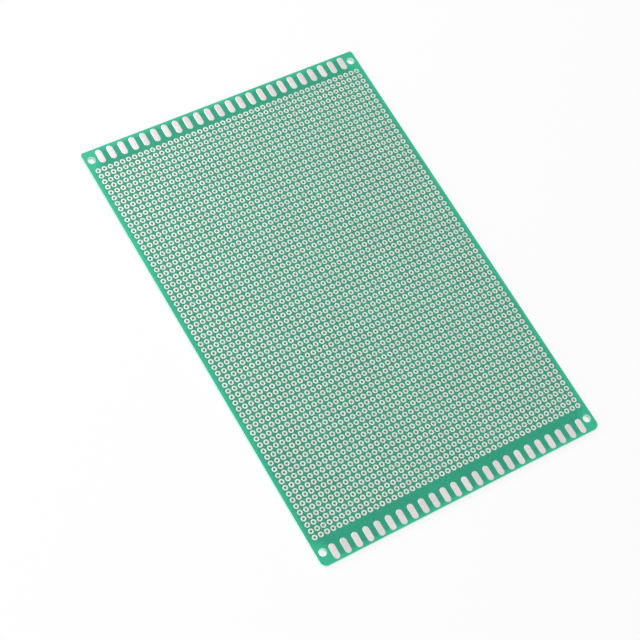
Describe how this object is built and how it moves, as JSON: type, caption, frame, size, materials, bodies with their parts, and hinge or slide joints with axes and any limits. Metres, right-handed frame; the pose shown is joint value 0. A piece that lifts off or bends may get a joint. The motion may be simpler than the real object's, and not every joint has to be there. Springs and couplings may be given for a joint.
{
  "type": "perforated circuit board",
  "caption": "Bare rectangular prototyping board with a grid of tinned ring pads round its lead holes, oblong pads along both short ends and a screw hole in each corner.",
  "frame": {"origin": "middle of the underside's bounding box, on the surface that the board lies on", "axes": "+Z out of the face that carries the pads, +Y along the length towards the end whose first pad row is nearer its edge, +X across the width"},
  "size_m": [0.12, 0.18, 0.0017],
  "materials": {
    "laminate": "bare woven-glass epoxy laminate, matt, seen at the cut edges, in the holes and on the underside",
    "solder_mask": "green solder mask film, satin",
    "tinned_pads": "copper foil levelled with solder, pale and satin"
  },
  "bodies": {
    "root": {"laminate": "laminate", "solder_mask": "solder_mask", "far_end_pads": "tinned_pads", "near_end_pads": "tinned_pads", "pad_column_01": "tinned_pads", "pad_column_02": "tinned_pads", "pad_column_03": "tinned_pads", "pad_column_04": "tinned_pads", "pad_column_05": "tinned_pads", "pad_column_06": "tinned_pads", "pad_column_07": "tinned_pads", "pad_column_08": "tinned_pads", "pad_column_09": "tinned_pads", "pad_column_10": "tinned_pads", "pad_column_11": "tinned_pads", "pad_column_12": "tinned_pads", "pad_column_13": "tinned_pads", "pad_column_14": "tinned_pads", "pad_column_15": "tinned_pads", "pad_column_16": "tinned_pads", "pad_column_17": "tinned_pads", "pad_column_18": "tinned_pads", "pad_column_19": "tinned_pads", "pad_column_20": "tinned_pads", "pad_column_21": "tinned_pads", "pad_column_22": "tinned_pads", "pad_column_23": "tinned_pads", "pad_column_24": "tinned_pads", "pad_column_25": "tinned_pads", "pad_column_26": "tinned_pads", "pad_column_27": "tinned_pads", "pad_column_28": "tinned_pads", "pad_column_29": "tinned_pads", "pad_column_30": "tinned_pads", "pad_column_31": "tinned_pads", "pad_column_32": "tinned_pads", "pad_column_33": "tinned_pads", "pad_column_34": "tinned_pads", "pad_column_35": "tinned_pads", "pad_column_36": "tinned_pads", "pad_column_37": "tinned_pads", "pad_column_38": "tinned_pads", "pad_column_39": "tinned_pads", "pad_column_40": "tinned_pads", "pad_column_41": "tinned_pads", "pad_column_42": "tinned_pads", "pad_column_43": "tinned_pads", "pad_column_44": "tinned_pads", "pad_column_45": "tinned_pads", "pad_column_46": "tinned_pads"}
  },
  "joints": []
}
